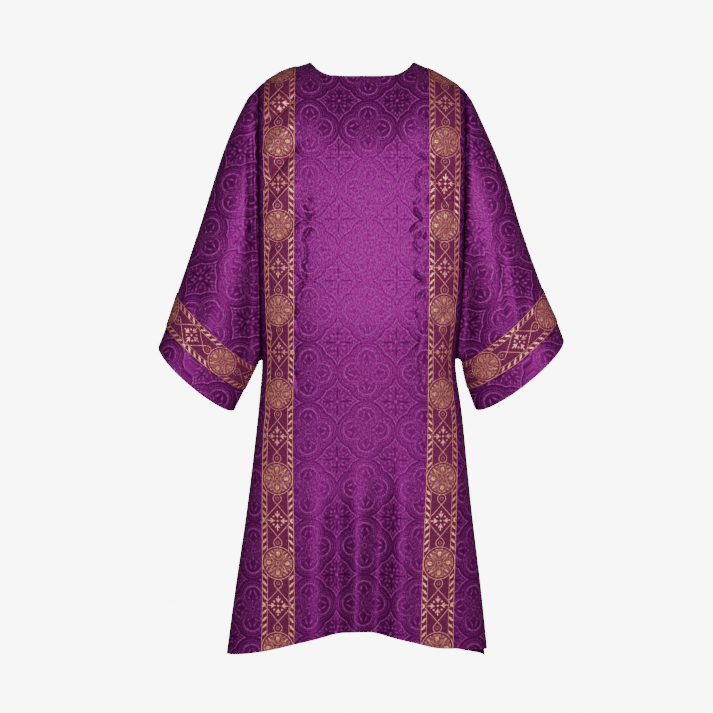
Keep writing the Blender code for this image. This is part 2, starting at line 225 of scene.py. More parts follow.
def hem_z(x, side):
    """The height of a panel's hem, which hangs lower towards the sides."""
    out = np.sin(np.pi / 2 * np.clip(np.abs(x) / HEM_SIDE_REACH, 0, 1))
    z = HEM_CENTRE_Z - HEM_SIDE_DROP * out**HEM_ARCH
    if side > 0:
        return z - BACK_HEM_DROP - BACK_LEFT_HEM_DROP * ease((x - HEM_DROP_START) / HEM_LIFT_REACH)
    return z + FRONT_LEFT_HEM_LIFT * ease((x - HEM_LIFT_START) / HEM_LIFT_REACH)


def gather(z):
    """How much nearer the centre line the folds pull each side at height z."""
    return HEM_GATHER * ease((GATHER_TOP_Z - z) / (GATHER_TOP_Z - HEM_CENTRE_Z))


def section_point(column, z, side):
    """The x and y of a panel's columns, one for each z, and their distance from the centre along the cloth.

    The section is a quarter of a squared oval each side. A column keeps its distance from the centre
    line along the cloth, and those past the band's outer edge share what cloth is left.
    """
    angle = np.linspace(0, np.pi / 2, SECTION_POINTS)
    middle, edge = ("front", "front_edge") if side < 0 else ("back", "back_edge")
    middle_y, edge_y = level(middle, z)[:, None], level(edge, z)[:, None]
    xs = (level("half_width", z) + gather(z))[:, None] * np.sin(angle) ** (2 / SECTION_SQUARENESS)
    ys = edge_y + (middle_y - edge_y) * np.cos(angle) ** (2 / SECTION_SQUARENESS)
    steps = np.hypot(np.diff(xs, axis=1), np.diff(ys, axis=1))
    length = so_far(steps, 1)
    zone = np.abs(column)
    share = np.clip(zone, 0, 1)
    neck = NECK_HALF * (share + np.sin(np.pi / 2 * share)) / 2
    beyond = np.interp(zone, (1, 2, 3), (0, BAND_INNER - NECK_HALF, BAND_INNER + BAND_WIDTH - NECK_HALF))
    cloth = neck + beyond
    cloth += (length[:, -1] - BAND_INNER - BAND_WIDTH) * np.clip(zone - 3, 0, 1)
    i = np.clip((length < cloth[:, None]).sum(axis=1), 1, len(angle) - 1)
    rows = np.arange(len(z))
    share = (cloth - length[rows, i - 1]) / (length[rows, i] - length[rows, i - 1])
    x = xs[rows, i - 1] + share * (xs[rows, i] - xs[rows, i - 1])
    y = ys[rows, i - 1] + share * (ys[rows, i] - ys[rows, i - 1])
    sign = np.sign(column)
    return sign * (x - gather(z) * np.clip(cloth / BAND_INNER, 0, 1)), y, sign * cloth


def panel_columns():
    """Columns from -X to +X: 1 is the neck point, 2 and 3 the band's edges, 4 the side edge."""
    half = np.concatenate([[0]] + [zone + np.arange(1, n + 1) / n for zone, n in enumerate(PANEL_ZONES)])
    return np.concatenate([-half[:0:-1], half])


def panel_grid(side, folds, creases):
    """Outer points of the front (side -1) or back (+1), and where they lie on the cloth, in metres."""
    columns = panel_columns()
    flat = np.ones(len(columns))
    top_x = section_point(columns, SHOULDER_Z * flat, side)[0]
    hem_x = section_point(columns, HEM_CENTRE_Z * flat, side)[0]
    top_y, top_z = top_edge(top_x, side)
    fall = top_z - hem_z(hem_x, side)
    chest = 1 - ease(2 * np.abs(top_x) / NECK_HALF - 1)
    grid = []
    across = []
    for row in range(TURN_ROWS + HANG_ROWS + 1):
        if row < TURN_ROWS:
            below = SHOULDER_TURN * (1 - np.cos(row / TURN_ROWS * np.pi / 2)) * flat
        else:
            share = (row - TURN_ROWS) / HANG_ROWS
            below = SHOULDER_TURN + (fall - SHOULDER_TURN) * (share - CHEST_ROWS * np.sin(np.pi * share))
        z = top_z - below
        x, y, cloth = section_point(columns, z, side)
        sloped = 1 - (1 - np.clip(below / SHOULDER_TURN, 0, 1)) ** 2
        turned = (1 - chest) * shoulder_turn(below) + chest * sloped
        y = top_y + (y - top_y) * turned
        y -= side * fold_depth(folds, x, z)
        grid.append(np.stack([x, y, z], axis=1))
        across.append(cloth)
    grid = np.array(grid)
    steps = np.linalg.norm(np.diff(grid, axis=0), axis=2)
    down = so_far(steps, 0)
    measured = np.array([np.interp(-MEASURE_Z, -grid[:, j, 2], down[:, j]) for j in range(len(columns))])
    cloth = np.stack([np.array(across), MEASURE_Z + measured - down], axis=2)
    depth = fold_depth(creases, grid[..., 0], grid[..., 2])
    if side > 0:
        grid, cloth, depth = grid[:, ::-1], cloth[:, ::-1], depth[:, ::-1]
    return grid - grid_normals(grid, ring=False) * depth[..., None], cloth


def figured(cloth):
    """Places on the cloth as the damask's figure takes them: closer towards the hem, drooping aside."""
    drawn = cloth.copy()
    drawn[..., 1] -= FIGURE_SHORTER * np.maximum(FIGURE_SHORTER_FROM - cloth[..., 1], 0)
    aside = np.abs(cloth[..., 0]) / BAND_INNER
    drawn[..., 1] += FIGURE_DROOP * aside**1.5 * ease((DROOP_FROM - cloth[..., 1]) / DROOP_REACH)
    return drawn


def grid_normals(grid, ring):
    """Unit normals that point out of the garment. At a seam they stay in the seam's own plane."""
    if ring:
        across = np.roll(grid, -1, axis=1) - np.roll(grid, 1, axis=1)
    else:
        across = np.gradient(grid, axis=1)
    normal = np.cross(np.gradient(grid, axis=0), across)
    if ring:
        normal[0, :, 0] = 0
    else:
        on_shoulder = np.abs(grid[0, :, 0]) > NECK_HALF - SEAM_GAP
        normal[0, on_shoulder, 1] = 0
    return unit(normal)


def leaning(points):
    """The points moved sideways with their height, as the garment hangs, and drawn in under the left arm."""
    moved = points.copy()
    moved[..., 0] -= LEAN * points[..., 2] ** 2
    x = points[..., 0]
    below = (points[..., 2] - UNDERARM_Z) / PULL_REACH
    pulled = ease((x - PULL_START) / PULL_GROWTH) * ease((PULL_END - x) / PULL_FADE)
    moved[..., 0] -= UNDERARM_PULL * pulled * np.exp(-(below**2))
    return moved


def sewn_cloth(name, outer, inner, cloth, ring, materials):
    """A piece of cloth between two grids of points, its map in metres. A ring closes on itself."""
    rows, columns = outer.shape[:2]
    points = np.concatenate([leaning(outer).reshape(-1, 3), leaning(inner).reshape(-1, 3)])
    i, j = np.meshgrid(np.arange(rows - 1), np.arange(columns if ring else columns - 1), indexing="ij")
    i, j = i.ravel(), j.ravel()
    far = rows * columns
    k = (j + 1) % columns
    skin = np.stack([i * columns + j, (i + 1) * columns + j, (i + 1) * columns + k, i * columns + k], axis=1)
    back = far + skin[:, ::-1]
    cloth = cloth.reshape(-1, 2)
    faces = [skin, back]
    top = j[i == 0]
    after = k[i == 0]
    last = (rows - 1) * columns
    faces.append(np.stack([top, after, far + after, far + top], axis=1))
    faces.append(np.stack([last + after, last + top, far + last + top, far + last + after], axis=1))
    if not ring:
        start = np.arange(rows - 1) * columns
        faces.append(np.stack([start + columns, start, far + start, far + start + columns], axis=1))
        end = start + columns - 1
        faces.append(np.stack([end, end + columns, far + end + columns, far + end], axis=1))
    faces = np.concatenate(faces)
    data = bpy.data.meshes.new(name)
    data.from_pydata(points.tolist(), [], faces.tolist())
    width = columns + 1 if ring else columns
    corner = faces % far
    row, column = corner // columns, corner % columns
    if ring:
        wraps = (column == 0) & ((column.max(axis=1) == columns - 1)[:, None])
        column = np.where(wraps, columns, column)
    sheet_map = data.uv_layers.new(name="cloth")
    sheet_map.data.foreach_set("uv", cloth[row * width + column].reshape(-1))
    for material in materials:
        data.materials.append(material)
    kinds = np.zeros(len(faces), dtype=np.int32)
    kinds[len(skin) : 2 * len(skin)] = len(materials) - 1
    data.polygons.foreach_set("material_index", kinds)
    data.shade_smooth()
    data.set_sharp_from_angle(angle=SHARP_ANGLE)
    piece = bpy.data.objects.new(name, data)
    bpy.context.scene.collection.objects.link(piece)
    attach(piece, "root")
    return piece


class Strand:
    """A number that changes over the cloth, as the output of a shader node. Sums with it make Math nodes."""

    def __init__(self, tree, socket):
        self.tree = tree
        self.socket = socket

    def math(self, operation, *others, clamp=False):
        node = self.tree.nodes.new("ShaderNodeMath")
        node.operation = operation
        node.use_clamp = clamp
        for place, value in zip(node.inputs, (self, *others)):
            if isinstance(value, Strand):
                self.tree.links.new(value.socket, place)
            else:
                place.default_value = value
        return Strand(self.tree, node.outputs[0])

    def __add__(self, other):
        return self.math("ADD", other)

    def __sub__(self, other):
        return self.math("SUBTRACT", other)

    def __rsub__(self, other):
        return self.math("MULTIPLY_ADD", -1.0, other)

    def __mul__(self, other):
        return self.math("MULTIPLY", other)

    def __truediv__(self, other):
        return self.math("DIVIDE", other)

    def __abs__(self):
        return self.math("ABSOLUTE")

    def __or__(self, other):
        """The larger of the two: where either figure is."""
        return self.math("MAXIMUM", other)

    def __and__(self, other):
        """The smaller of the two: where both are."""
        return self.math("MINIMUM", other)

    def away(self, other):
        """The distance from the origin of the point (self, other)."""
        return (self * self + other * other).math("SQRT")

    def filled(self, edge):
        """1 where this distance is under 0, 0 where it is over, across an edge that wide."""
        return self.math("MULTIPLY_ADD", -1.0 / edge, 0.5, clamp=True)

    def line(self, at, half_width, edge):
        """1 within half_width of the places where this distance is at."""
        return (abs(self - at) - half_width).filled(edge)


def leaf(along, aside, centre, turn, size, edge):
    """A leaf-shaped figure, an oval of half length and half width size, turned by an angle."""
    x, y = along - centre[0], aside - centre[1]
    c, s = float(np.cos(turn)), float(np.sin(turn))
    length = x * (c / size[0]) + y * (s / size[0])
    width = y * (c / size[1]) - x * (s / size[1])
    return ((length.away(width) - 1.0) * min(size)).filled(edge)


def new_group(name, inputs, outputs):
    """A node group with named sockets: inputs as {name: (kind, default)}, and outputs that are numbers."""
    group = bpy.data.node_groups.new(name, "ShaderNodeTree")
    for label, (kind, default) in inputs.items():
        socket = group.interface.new_socket(label, in_out="INPUT", socket_type=kind)
        if default is not None:
            socket.default_value = default
    for label in outputs:
        group.interface.new_socket(label, in_out="OUTPUT", socket_type="NodeSocketFloat")
    return group, group.nodes.new("NodeGroupInput"), group.nodes.new("NodeGroupOutput")


def fill(tree, node, values):
    """Links or sets the inputs of a node, by their labels or numbers."""
    for label, value in values.items():
        if isinstance(value, bpy.types.NodeSocket):
            tree.links.new(value, node.inputs[label])
        else:
            node.inputs[label].default_value = value


# Damask figure, in repeats of the cloth. A medallion stands at each whole number: four rings that cross,
# each with a leaf, inside thin lobed lines. Between four medallions lies a frame with a flowered cross.
DAMASK_REPEAT = (0.1137, 0.1197)
DAMASK_START = (0.0117, -0.1405)
RING_CENTRE = 0.226
RING_RADIUS = 0.161
LOBED_LINES = (0.196, 0.236)
# LOBED_SHADES and FRAME_SHADE are radii of painted shade lines, just inside the lobed lines and the frame.
LOBED_SHADES = (0.178, 0.216)
FRAME_CENTRE = 0.190
FRAME_RADIUS = 0.335
FRAME_SHADE = 0.312
FRAME_SHADE_FROM = 0.10  # off the axis, so that the frame's shade stays clear of the medallions
FRAME_SHADE_EDGE = 0.04
MEDALLION_EYE = 0.036
CROSS_EYE = 0.026
FIGURE_LINE = 0.0068
FIGURE_EDGE = 0.012
# How strongly each part is drawn, from 0 to 1. A ring's outer side is full and its inner side fades.
RING_FADE = (3.0, 0.62)
CROSSING_RING = 0.5
LOBED = 0.6
EYE = 0.8
CROSS = 0.8
LOBED_SHADE = 0.5
DISC_SHADE = 0.08
LEAF_SHADE = 0.4


def damask_cell(group, vector):
    """A place on the damask folded into one eighth of its repeat: along the nearer axis, and off it."""
    parts = group.nodes.new("ShaderNodeSeparateXYZ")
    group.links.new(vector, parts.inputs[0])
    folded = []
    for axis in (0, 1):
        place = Strand(group, parts.outputs[axis]).math(
            "MULTIPLY_ADD", 1 / DAMASK_REPEAT[axis], -DAMASK_START[axis] / DAMASK_REPEAT[axis]
        )
        folded.append(place.math("PINGPONG", 0.5))
    return folded[0] | folded[1], folded[0] & folded[1]


def leaves_at(along, aside, rows):
    """Leaves from rows of centre, turn and size."""
    drawn = None
    for centre, turn, size in rows:
        one = leaf(along, aside, centre, turn, size, FIGURE_EDGE)
        drawn = one if drawn is None else drawn | one
    return drawn


def damask_figure():
    """The group that draws the damask's figure: its light threads, and painted shade beside them together
    with the figure's darker parts.
    """
    group, given, made = new_group(
        "damask_figure",
        {"Cloth": ("NodeSocketVector", None)},
        ("Light", "Shade"),
    )
    along, aside = damask_cell(group, given.outputs["Cloth"])
    edge, line = FIGURE_EDGE, FIGURE_LINE
    ring = (along - RING_CENTRE).away(aside)
    crossing = along.away(aside - RING_CENTRE)
    outer = (along - RING_CENTRE).math("MULTIPLY_ADD", *RING_FADE, clamp=True)
    light = ring.line(RING_RADIUS, line * 2.0, edge) * outer
    light = light | crossing.line(RING_RADIUS, line, edge) * CROSSING_RING
    inside = (ring - LOBED_LINES[0]).filled(edge)
    frame = (along - FRAME_CENTRE).away(aside)
    beside = (aside - FRAME_SHADE_FROM).filled(-FRAME_SHADE_EDGE)
    light = light | frame.line(FRAME_RADIUS, line * 1.4, edge)
    for radius in LOBED_LINES:
        light = light | ring.line(radius, line * 0.7, edge) * LOBED
        light = light | (crossing.line(radius, line * 0.7, edge) & inside) * LOBED
    light = light | leaves_at(
        along - RING_CENTRE,
        aside,
        (
            ((0.045, 0.045), -0.48, (0.046, 0.012)),
            ((-0.040, 0.070), 0.9, (0.034, 0.010)),
            ((-0.095, 0.0), 0.0, (0.022, 0.012)),
        ),
    )
    light = light | (along.away(aside).line(MEDALLION_EYE, line, edge) * EYE)
    far, near = 0.5 - aside, 0.5 - along
    light = light | leaves_at(
        far,
        near,
        (
            ((0.100, 0.035), 0.15, (0.026, 0.014)),
            ((0.175, 0.075), 0.55, (0.036, 0.012)),
            ((0.235, 0.036), 0.45, (0.026, 0.010)),
            ((0.100, 0.092), 0.80, (0.028, 0.011)),
            ((0.270, 0.0), 0.0, (0.022, 0.012)),
        ),
    ) * CROSS
    light = light | (far.away(near) - CROSS_EYE).filled(edge)
    # Painted shade: dark lines just inside the frame and the lobed lines, as raised threads would cast, with
    # the ring's disc and leaf and the cross's arms drawn darker.
    shade = frame.line(FRAME_SHADE, line, edge) & beside
    for radius in LOBED_SHADES:
        shade = shade | ring.line(radius, line * 0.6, edge) * LOBED_SHADE
    shade = shade | (ring - RING_RADIUS).filled(edge) * DISC_SHADE
    ring_leaf = (((0.020, 0.0), 0.0, (0.050, 0.018)),)
    shade = shade | leaves_at(along - RING_CENTRE, aside, ring_leaf) * LEAF_SHADE
    shade = shade | leaves_at(
        far,
        near,
        (
            ((0.150, 0.0), 0.0, (0.125, 0.011)),
            ((0.135, 0.060), 0.60, (0.040, 0.012)),
        ),
    )
    fill(group, made, {"Light": light.socket, "Shade": shade.socket})
    return group


def noise(tree, place, scale, detail):
    """A flat noise texture at a place on the cloth."""
    node = tree.nodes.new("ShaderNodeTexNoise")
    node.noise_dimensions = "2D"
    fill(tree, node, {"Scale": scale, "Detail": detail, "Vector": place})
    return node.outputs["Fac"]


def weave_relief():
    """The group that draws the threads: fine uneven ribs across the cloth and slubs along it, as a height."""
    group, given, made = new_group(
        "weave_relief",
        {"Cloth": ("NodeSocketVector", None), "Threads": ("NodeSocketFloat", 900.0)},
        ("Height", "Slub"),
    )
    scaled = group.nodes.new("ShaderNodeVectorMath")
    scaled.operation = "SCALE"
    fill(group, scaled, {0: given.outputs["Cloth"], "Scale": given.outputs["Threads"]})
    stretched = group.nodes.new("ShaderNodeVectorMath")
    stretched.operation = "MULTIPLY"
    fill(group, stretched, {0: scaled.outputs[0], 1: (1.0, 0.55, 1.0)})
    threads = noise(group, stretched.outputs[0], 1.0, 2.0)
    slubs = noise(group, scaled.outputs[0], 0.05, 3.0)
    grain = Strand(group, threads).math("MULTIPLY_ADD", 2.6, -0.8, clamp=True)
    fill(group, made, {"Height": grain.socket, "Slub": slubs})
    return group


def add_group(tree, group, links):
    """A group placed in a material, its inputs linked or set from links."""
    node = tree.nodes.new("ShaderNodeGroup")
    node.node_tree = group
    fill(tree, node, links)
    return node


def mixed(tree, share, first, second):
    """A colour between two, by a number from 0 to 1."""
    node = tree.nodes.new("ShaderNodeMix")
    node.data_type = "RGBA"
    for place, value in (("Factor_Float", share), ("A_Color", first), ("B_Color", second)):
        socket = next(entry for entry in node.inputs if entry.identifier == place)
        if isinstance(value, bpy.types.NodeSocket):
            tree.links.new(value, socket)
        else:
            socket.default_value = (*value, 1.0)
    return next(entry for entry in node.outputs if entry.identifier == "Result_Color")


def from_to(tree, share, low, high):
    """A number that runs from low to high as share runs from 0 to 1."""
    return Strand(tree, share).math("MULTIPLY_ADD", high - low, low).socket


def new_material(name):
    """A material, its node tree and its Principled shader."""
    material = bpy.data.materials.new(name)
    material.use_nodes = True
    return material, material.node_tree, material.node_tree.nodes["Principled BSDF"]


def cloth_material(name):
    """A material with a Principled shader, and the socket that gives a piece's place on its cloth."""
    material, tree, shader = new_material(name)
    place = tree.nodes.new("ShaderNodeUVMap")
    place.uv_map = "cloth"
    return material, tree, shader, place.outputs["UV"]


def bump(tree, shader, heights, distance):
    """Bump from one or more heights, each with its own strength."""
    normal = None
    for height, strength in heights:
        node = tree.nodes.new("ShaderNodeBump")
        fill(tree, node, {"Strength": strength, "Distance": distance, "Height": height})
        if normal is not None:
            tree.links.new(normal, node.inputs["Normal"])
        normal = node.outputs["Normal"]
    tree.links.new(normal, shader.inputs["Normal"])


def damask_material():
    """Silk damask: a satin ground that shines, and a figure in duller, paler threads edged with painted
    shade.
    """
    material, tree, shader, place = cloth_material("damask")
    figure = add_group(tree, damask_figure(), {"Cloth": place})
    light, shade = figure.outputs["Light"], figure.outputs["Shade"]
    weave = add_group(tree, weave_relief(), {"Cloth": place, "Threads": 380.0})
    thread = weave.outputs["Height"]
    ground = mixed(tree, thread, (0.076, 0.0017, 0.061), (0.178, 0.0064, 0.142))
    # Painted shade: the Shade mask darkens the ground beside the light threads and in the darker parts of the
    # figure.
    ground = mixed(tree, shade, ground, mixed(tree, thread, (0.036, 0.0007, 0.029), (0.086, 0.0017, 0.069)))
    lines = mixed(tree, thread, (0.152, 0.0100, 0.124), (0.395, 0.0535, 0.340))
    values = {
        "Base Color": mixed(tree, light, ground, lines),
        "Roughness": from_to(tree, light, 0.40, 0.55),
        "Metallic": from_to(tree, light, 0.36, 0.03),
        "Specular IOR Level": 0.1,
        "Specular Tint": (0.35, 0.05, 0.30, 1),
    }
    fill(tree, shader, values)
    bump(tree, shader, ((light, 0.35), (thread, 0.35)), 0.0004)
    return material


def lining_material():
    """The plain satin lining inside."""
    material, tree, shader, place = cloth_material("lining")
    weave = add_group(tree, weave_relief(), {"Cloth": place, "Threads": 1200.0})
    colour = mixed(tree, weave.outputs["Slub"], (0.050, 0.004, 0.045), (0.075, 0.008, 0.065))
    fill(tree, shader, {"Base Color": colour, "Roughness": 0.5, "Specular IOR Level": 0.2})
    bump(tree, shader, ((weave.outputs["Height"], 0.2),), 0.0002)
    return material


# Small creases beside the bands, where their stitching draws the cloth in, and softer ones that cross them.
FRONT_CREASES = (
    Fold(-0.108, -0.269, -0.096, -0.285, 0.0024, 0.0025),
    Fold(-0.113, -0.289, -0.103, -0.319, 0.0028, 0.005),
    Fold(-0.109, -0.32, -0.093, -0.302, 0.0028, 0.0042),
    Fold(-0.117, -0.322, -0.104, -0.332, 0.0022, 0.0028),
    Fold(-0.096, -0.331, -0.111, -0.349, 0.0028, 0.0047),
    Fold(-0.108, -0.341, -0.115, -0.365, 0.0026, 0.0042),
    Fold(-0.116, -0.365, -0.105, -0.38, 0.0024, 0.0032),
    Fold(-0.108, -0.374, -0.109, -0.396, 0.0026, 0.0028),
    Fold(-0.105, -0.387, -0.117, -0.416, 0.0026, 0.004),
    Fold(-0.117, -0.413, -0.107, -0.436, 0.0029, 0.005),
    Fold(-0.129, -0.429, -0.112, -0.451, 0.0026, 0.0042),
    Fold(-0.112, -0.441, -0.133, -0.479, 0.0028, 0.005),
    Fold(-0.117, -0.458, -0.122, -0.48, 0.0022, 0.003),
    Fold(-0.127, -0.476, -0.134, -0.506, 0.0026, 0.0042),
    Fold(-0.133, -0.506, -0.119, -0.539, 0.0031, 0.0028),
    Fold(-0.123, -0.555, -0.132, -0.599, 0.0033, 0.0028),
    Fold(-0.131, -0.607, -0.12, -0.662, 0.0037, 0.0025),
    Fold(0.112, -0.187, 0.127, -0.204, 0.0028, 0.0026),
    Fold(0.125, -0.226, 0.106, -0.235, 0.0028, 0.003),
    Fold(0.109, -0.228, 0.105, -0.255, 0.0026, 0.0024),
    Fold(0.104, -0.247, 0.115, -0.266, 0.0026, 0.0022),
    Fold(0.116, -0.277, 0.1, -0.291, 0.0026, 0.0028),
    Fold(0.103, -0.294, 0.11, -0.313, 0.003, 0.0042),
    Fold(0.106, -0.305, 0.118, -0.324, 0.003, 0.0042),
    Fold(0.114, -0.324, 0.092, -0.344, 0.0028, 0.0028),
    Fold(0.118, -0.344, 0.104, -0.357, 0.0034, 0.004),
    Fold(0.123, -0.344, 0.123, -0.358, 0.0026, 0.003),
    Fold(0.105, -0.353, 0.105, -0.375, 0.0026, 0.0026),
    Fold(0.102, -0.367, 0.115, -0.385, 0.0026, 0.0026),
    Fold(0.127, -0.372, 0.111, -0.384, 0.0024, 0.0022),
    Fold(0.115, -0.395, 0.102, -0.408, 0.0028, 0.0028),
    Fold(0.104, -0.417, 0.113, -0.438, 0.003, 0.0042),
    Fold(0.106, -0.432, 0.128, -0.443, 0.003, 0.0042),
    Fold(0.105, -0.482, 0.113, -0.466, 0.003, 0.0032),
    Fold(0.108, -0.47, 0.128, -0.465, 0.003, 0.0034),
    Fold(0.106, -0.496, 0.118, -0.523, 0.0032, 0.0026),
    Fold(0.122, -0.535, 0.109, -0.579, 0.0036, 0.0022),
    Fold(0.112, -0.592, 0.123, -0.646, 0.004, 0.002),
    Fold(-0.12, -0.069, -0.199, -0.135, 0.0062, 0.0105),
    Fold(-0.115, -0.107, -0.2, -0.2, 0.0093, -0.0065),
    Fold(-0.115, -0.16, -0.2, -0.263, 0.0074, 0.01),
    Fold(-0.119, -0.236, -0.195, -0.323, 0.0102, -0.0058),
    Fold(-0.12, -0.312, -0.191, -0.388, 0.0076, 0.008),
    Fold(-0.121, -0.478, -0.186, -0.56, 0.0085, 0.0058),
    Fold(-0.129, -0.657, -0.194, -0.717, 0.0102, 0.0036),
    Fold(0.203, -0.15, 0.141, -0.221, 0.0064, 0.0072),
    Fold(0.132, -0.192, 0.175, -0.311, 0.0068, 0.0087),
    Fold(0.185, -0.238, 0.18, -0.336, 0.0051, 0.0043),
    Fold(0.127, -0.268, 0.154, -0.311, 0.0051, 0.0043),
    Fold(0.193, -0.322, 0.133, -0.387, 0.0076, 0.0065),
    Fold(0.193, -0.477, 0.133, -0.542, 0.0085, 0.0051),
    Fold(0.19, -0.658, 0.125, -0.712, 0.0102, 0.0036),
)
BACK_CREASES = (
    Fold(-0.119, -0.17, -0.112, -0.236, 0.0055, 0.0024),
    Fold(-0.111, -0.24, -0.117, -0.3, 0.005, 0.003),
    Fold(-0.116, -0.306, -0.108, -0.36, 0.0048, 0.0032),
    Fold(-0.11, -0.372, -0.121, -0.438, 0.0055, 0.0028),
    Fold(-0.123, -0.47, -0.114, -0.556, 0.006, 0.0022),
    Fold(0.121, -0.19, 0.112, -0.252, 0.0055, 0.0026),
    Fold(0.11, -0.256, 0.116, -0.318, 0.0048, 0.0032),
    Fold(0.115, -0.33, 0.109, -0.384, 0.005, 0.0028),
    Fold(0.113, -0.396, 0.124, -0.47, 0.0055, 0.003),
    Fold(0.121, -0.51, 0.113, -0.59, 0.006, 0.002),
)

damask = damask_material()
lining = lining_material()
panels = {}
for name, side, folds, creases in (
    ("front", -1, FRONT_FOLDS, FRONT_CREASES),
    ("back", 1, BACK_FOLDS, BACK_CREASES),
):
    grid, cloth = panel_grid(side, folds, creases)
    normals = grid_normals(grid, ring=False)
    panels[name] = (grid, cloth, normals)
    panel = sewn_cloth(
        f"{name}_cloth", grid, grid - normals * CLOTH_WALL, figured(cloth), False, (damask, lining)
    )
    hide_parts(f"{name}_panel")

# ---- Front and back bands ----
# Woven galloon 66 mm wide, old gold on a plum ground: roundels with a rosette, diamonds with a flowered
# cross between them, and a rope border. A length runs down each side, front and back, stitched by its edges.

BAND_WALL = 0.0012
BAND_REPEAT = 0.1645
BAND_LINE = 0.00065
BAND_EDGE = 0.0008
ROUNDEL = 0.0278
STRAND_RING = 0.0312
CROSSING = 0.0515  # where the strands cross, from the roundel's middle
CROSSING_ANGLE = 0.733
DROP_RADIUS = 0.0082
DROP_EYE = 0.0030
ROSETTE_EYE = 0.0034
LEAF_RIB = 0.0003  # half the gap along a leaf's middle
PETAL_CENTRE = 0.0172
PETAL = (0.0100, 0.0080)  # half its length and half its width
ROPE = (0.0214, 0.0316)  # inner and outer line of the border, from the middle of the band
ROPE_STROKES = 6
ROPE_SLANT = 0.95
ROPE_STROKE = 0.0030  # half the thickness of a stroke at its middle


def rosette(major, minor, reach, edge):
    """The roundel's filling, drawn in one eighth: leaves and buds, and the fine lines round them."""
    leaves = leaf(major, minor, (0.0185, 0.0), 0.0, (0.0050, 0.0036), edge)
    leaves = leaves | leaf(major, minor, (0.0130, 0.0), 0.0, (0.0036, 0.0010), edge)
    leaves = leaves | leaf(major, minor, (0.0160, 0.0160), np.pi / 4, (0.0046, 0.0015), edge)
    leaves = leaves & (minor - LEAF_RIB).filled(-edge)
    leaves = leaves | leaf(major, minor, (0.0205, 0.0), 0.0, (0.0018, 0.0014), edge)
    petal = ((major - PETAL_CENTRE) * (1 / PETAL[0])).away(minor * (1 / PETAL[1]))
    fine = (petal - 1.0).math("MULTIPLY", PETAL[1]).line(0.0, BAND_LINE * 0.6, edge)
    fine = fine | reach.line(ROSETTE_EYE, BAND_LINE * 0.8, edge)
    for place, turn, size in (
        ((0.0222, 0.0120), 0.95, (0.0030, 0.0008)),
        ((0.0125, 0.0095), 0.75, (0.0040, 0.0007)),
        ((0.0258, 0.0045), 1.30, (0.0026, 0.0008)),
    ):
        fine = fine | leaf(major, minor, place, turn, size, edge)
    return leaves, fine


def flowered_cross(major, minor, edge):
    """The diamond's filling, drawn in one eighth: a cross with three-lobed ends, and a dot in each angle."""
    cross = leaf(major, minor, (0.0112, 0.0), 0.0, (0.0056, 0.0015), edge)
    cross = cross | leaf(major, minor, (0.0112, 0.0024), 0.65, (0.0036, 0.0014), edge)
    cross = cross | leaf(major, minor, (0.0170, 0.0), 0.0, (0.0024, 0.0013), edge)
    cross = cross | (major.away(minor) - 0.0020).filled(edge)
    return cross | ((major - 0.0079).away(minor - 0.0077) - 0.0018).filled(edge)


def band_figure():
    """The group that draws the band's figure from its place across (X) and along (Y) the band."""
    group, given, made = new_group(
        "band_figure",
        {"Band": ("NodeSocketVector", None)},
        ("Gold", "Leaves", "Filling"),
    )
    parts = group.nodes.new("ShaderNodeSeparateXYZ")
    group.links.new(given.outputs["Band"], parts.inputs[0])
    edge, line = BAND_EDGE, BAND_LINE
    across = abs(Strand(group, parts.outputs[0]))
    along = Strand(group, parts.outputs[1]).math("PINGPONG", BAND_REPEAT / 2)
    reach = across.away(along)
    filling = (reach - ROUNDEL).filled(edge)
    leaves, fine = rosette(across | along, across & along, reach, edge)
    gold = reach.line(STRAND_RING, line, edge) | (fine & filling)
    leaves = leaves & filling

    # The strands run straight on each side of their crossing, and round the drop beyond.
    c, s = float(np.cos(CROSSING_ANGLE)), float(np.sin(CROSSING_ANGLE))
    before = CROSSING - along
    straight = across * c - abs(before) * s
    drop = DROP_RADIUS / s
    rounded = across.away(before - drop) - DROP_RADIUS
    past = (across * s + before * c).math("GREATER_THAN", drop * c)
    strand = (straight + (rounded - straight) * past).line(0.0, line, edge)
    gold = gold | (strand & (reach - STRAND_RING).filled(-edge))
    eye = across.away(before - drop)
    gold = gold | eye.line(DROP_EYE, line * 0.7, edge)

    from_diamond = (BAND_REPEAT / 2) - along
    gold = gold | flowered_cross(across | from_diamond, across & from_diamond, edge)

    stroke = BAND_REPEAT / 2 / ROPE_STROKES
    middle = (ROPE[0] + ROPE[1]) / 2
    from_middle = across - middle
    slanted = (along + from_middle * ROPE_SLANT).math("PINGPONG", stroke / 2)
    thinned = from_middle * from_middle * (ROPE_STROKE / (ROPE[1] - middle) ** 2)
    rope = (slanted + thinned - ROPE_STROKE).filled(edge)
    rope = rope | across.line(ROPE[0], line * 0.8, edge)
    rope = rope & (reach - STRAND_RING).filled(-edge)
    gold = gold | rope | across.line(ROPE[1], line * 0.9, edge)
    fill(group, made, {"Gold": gold.socket, "Leaves": leaves.socket, "Filling": filling.socket})
    return group


